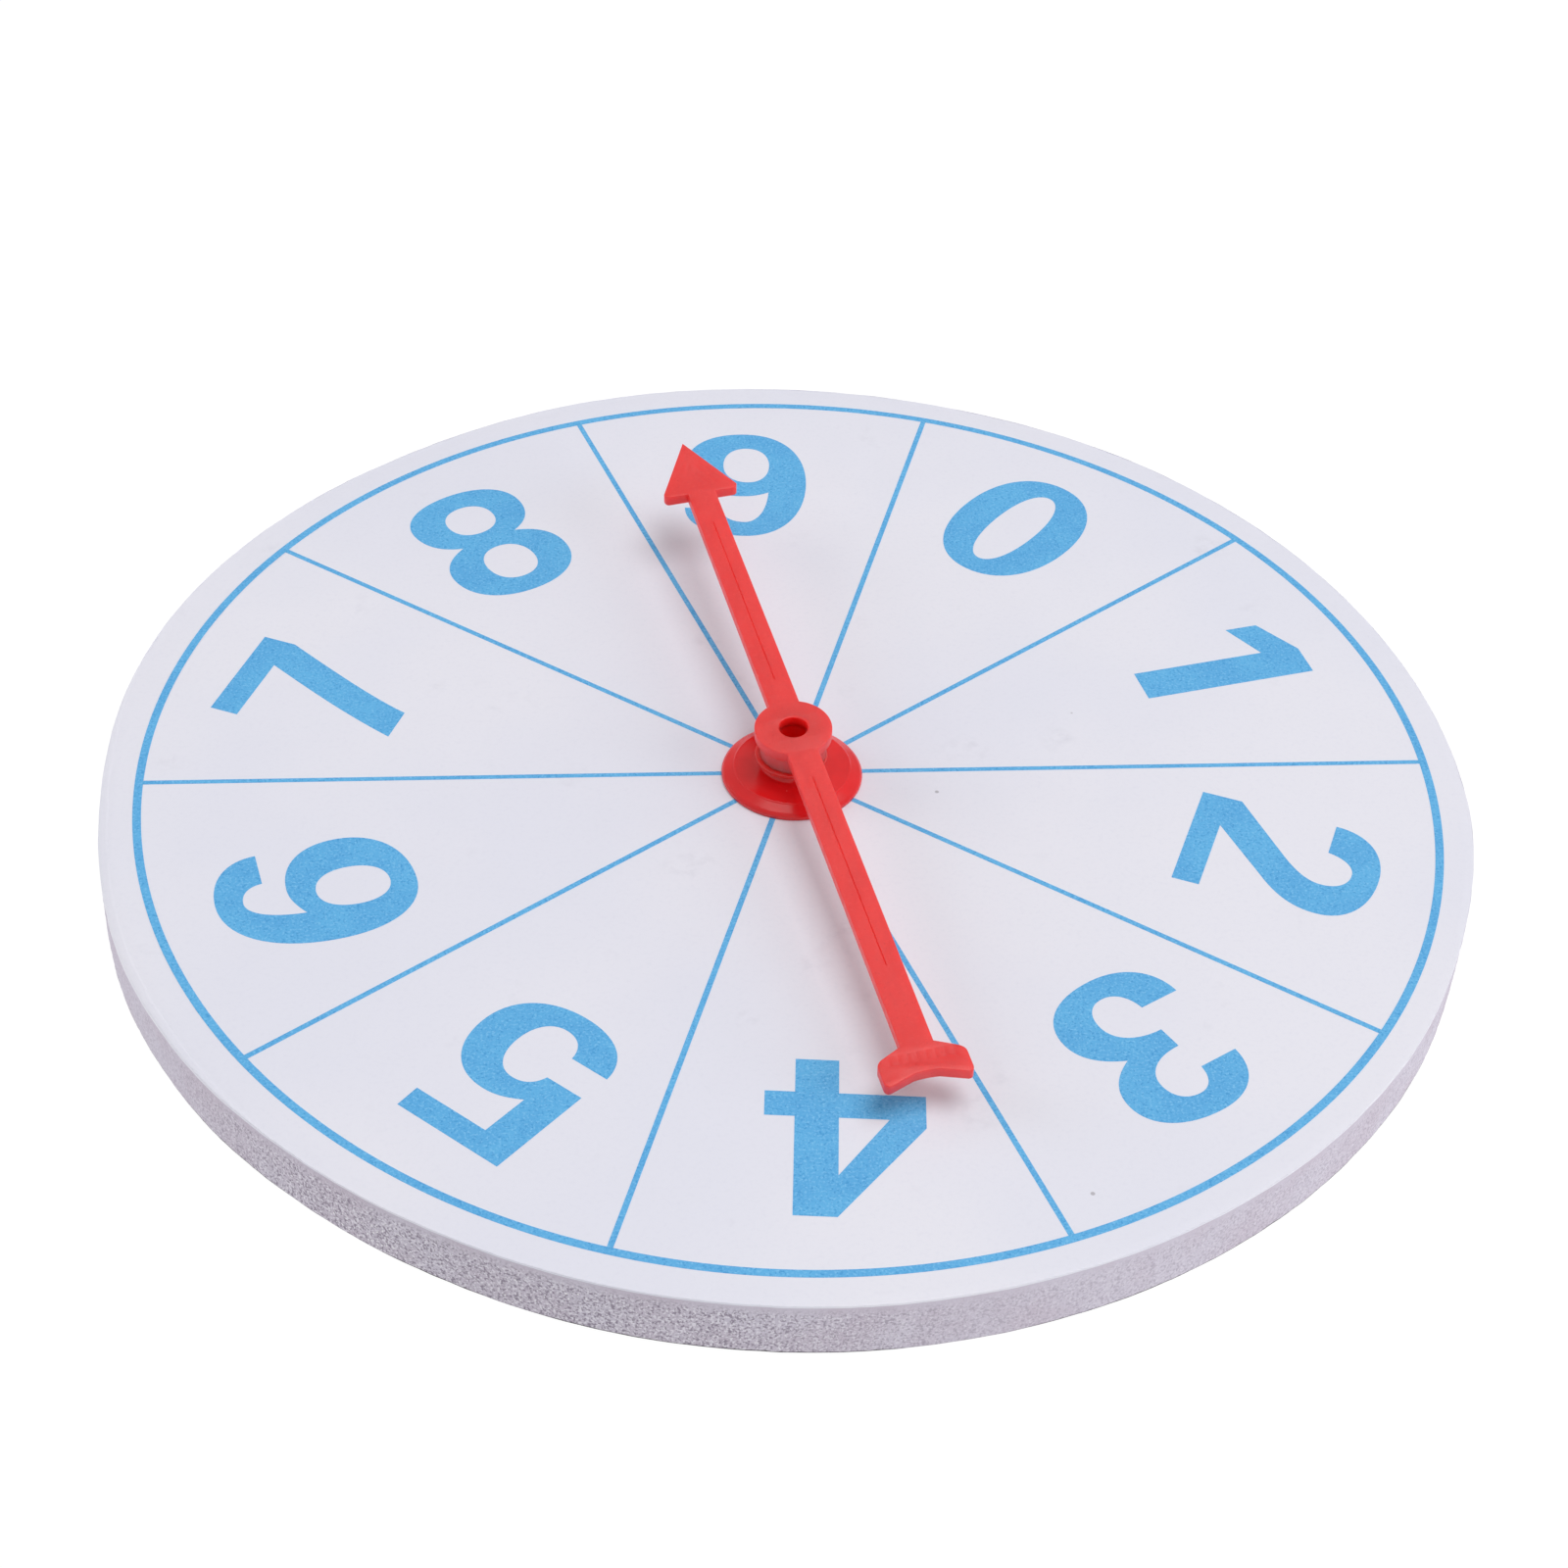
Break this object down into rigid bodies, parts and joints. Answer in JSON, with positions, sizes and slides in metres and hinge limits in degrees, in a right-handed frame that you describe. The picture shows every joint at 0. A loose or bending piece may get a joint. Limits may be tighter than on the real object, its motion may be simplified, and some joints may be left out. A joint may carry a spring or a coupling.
{
  "type": "game spinner",
  "caption": "Round foam board with a numbered dial printed on its face and a flat arrow that spins freely on a domed hub at its centre.",
  "frame": {"origin": "centre of the board's back face, on the axis of the hub", "axes": "+Z out of the printed face along the arrow's axis; +Y along the middle of the sector numbered 9; +X along the line between the sectors numbered 1 and 2"},
  "size_m": [0.15, 0.15, 0.0138],
  "materials": {
    "cut_foam": "matte",
    "printed_film": "satin",
    "gloss_red": "gloss",
    "satin_red": "satin"
  },
  "bodies": {
    "board": {"foam_disc": "cut_foam", "face_sheet": "printed_film", "hub_base": "gloss_red", "rear_retainer": "gloss_red"},
    "washer": {"thrust_washer": "satin_red"},
    "arrow": {"spin_arrow": "satin_red"}
  },
  "joints": [
    {"name": "arrow_spin", "type": "hinge", "parent": "board", "child": "arrow", "pos_m": [0, 0, 0.0069], "axis": [0, 0, 1], "continuous": true},
    {"name": "washer_spin", "type": "hinge", "parent": "board", "child": "washer", "pos_m": [0, 0, 0.00945], "axis": [0, 0, 1], "continuous": true}
  ]
}
